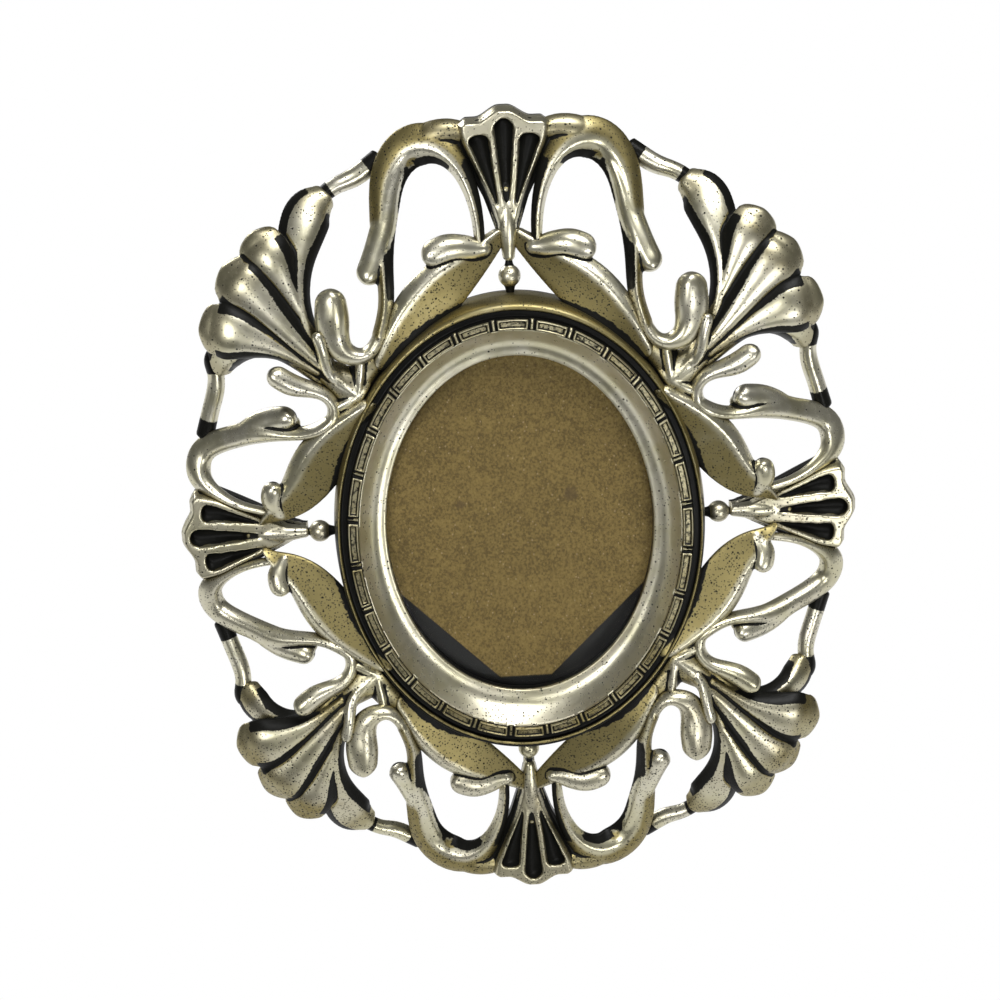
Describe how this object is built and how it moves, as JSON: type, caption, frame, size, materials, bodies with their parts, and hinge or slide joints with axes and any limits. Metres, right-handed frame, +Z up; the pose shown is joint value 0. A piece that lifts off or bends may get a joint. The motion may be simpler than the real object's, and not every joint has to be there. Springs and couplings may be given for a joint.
{
  "type": "oval picture frame",
  "caption": "Wall-hung oval picture frame with a pierced border of shells, scrolls and fans, a moulding with a row of bars, and a glazed rebate closed by turn buttons.",
  "frame": {"origin": "centre of the hanger's nail hole, in the plane of the wall", "axes": "+Z up, +X to the right of someone who looks at the frame, +Y into the wall"},
  "size_m": [0.2286, 0.0299, 0.2782],
  "materials": {
    "silver_leaf": "cast resin with antiqued champagne silver leaf, black in the hollows",
    "pane_glass": "clear float glass",
    "brown_card": "uncoated brown chipboard",
    "black_board": "black faced hardboard",
    "hanger_steel": "zinc plated sheet",
    "screw_steel": "zinc plated"
  },
  "bodies": {
    "frame": {"bead_bottom": "silver_leaf", "bead_left": "silver_leaf", "bead_right": "silver_leaf", "bead_top": "silver_leaf", "button_screws": "screw_steel", "fan_bottom": "silver_leaf", "fan_left": "silver_leaf", "fan_right": "silver_leaf", "fan_top": "silver_leaf", "glass_pane": "pane_glass", "hanger": "hanger_steel", "hanger_screws": "screw_steel", "leaf_lower_left": "silver_leaf", "leaf_lower_right": "silver_leaf", "leaf_upper_left": "silver_leaf", "leaf_upper_right": "silver_leaf", "link_lower_left": "silver_leaf", "link_lower_right": "silver_leaf", "link_upper_left": "silver_leaf", "link_upper_right": "silver_leaf", "oval_ring": "silver_leaf", "picture_card": "brown_card", "rear_panel": "black_board", "scroll_lower_left": "silver_leaf", "scroll_lower_right": "silver_leaf", "scroll_upper_left": "silver_leaf", "scroll_upper_right": "silver_leaf", "shell_lower_left": "silver_leaf", "shell_lower_right": "silver_leaf", "shell_upper_left": "silver_leaf", "shell_upper_right": "silver_leaf", "side_leaf_lower_left": "silver_leaf", "side_leaf_lower_right": "silver_leaf", "side_leaf_upper_left": "silver_leaf", "side_leaf_upper_right": "silver_leaf", "side_link_lower_left": "silver_leaf", "side_link_lower_right": "silver_leaf", "side_link_upper_left": "silver_leaf", "side_link_upper_right": "silver_leaf", "side_scroll_lower_left": "silver_leaf", "side_scroll_lower_right": "silver_leaf", "side_scroll_upper_left": "silver_leaf", "side_scroll_upper_right": "silver_leaf"},
    "button_1": {"turn_button_1": "hanger_steel"},
    "button_2": {"turn_button_2": "hanger_steel"},
    "button_3": {"turn_button_3": "hanger_steel"},
    "button_4": {"turn_button_4": "hanger_steel"}
  },
  "joints": [
    {"name": "button_1_turn", "type": "hinge", "parent": "frame", "child": "button_1", "pos_m": [0.03932, -0.0079, -0.02195], "axis": [0, 1, 0], "continuous": true},
    {"name": "button_2_turn", "type": "hinge", "parent": "frame", "child": "button_2", "pos_m": [-0.03932, -0.0079, -0.02195], "axis": [0, 1, 0], "continuous": true},
    {"name": "button_3_turn", "type": "hinge", "parent": "frame", "child": "button_3", "pos_m": [-0.03932, -0.0079, -0.12285], "axis": [0, 1, 0], "continuous": true},
    {"name": "button_4_turn", "type": "hinge", "parent": "frame", "child": "button_4", "pos_m": [0.03932, -0.0079, -0.12285], "axis": [0, 1, 0], "continuous": true}
  ]
}
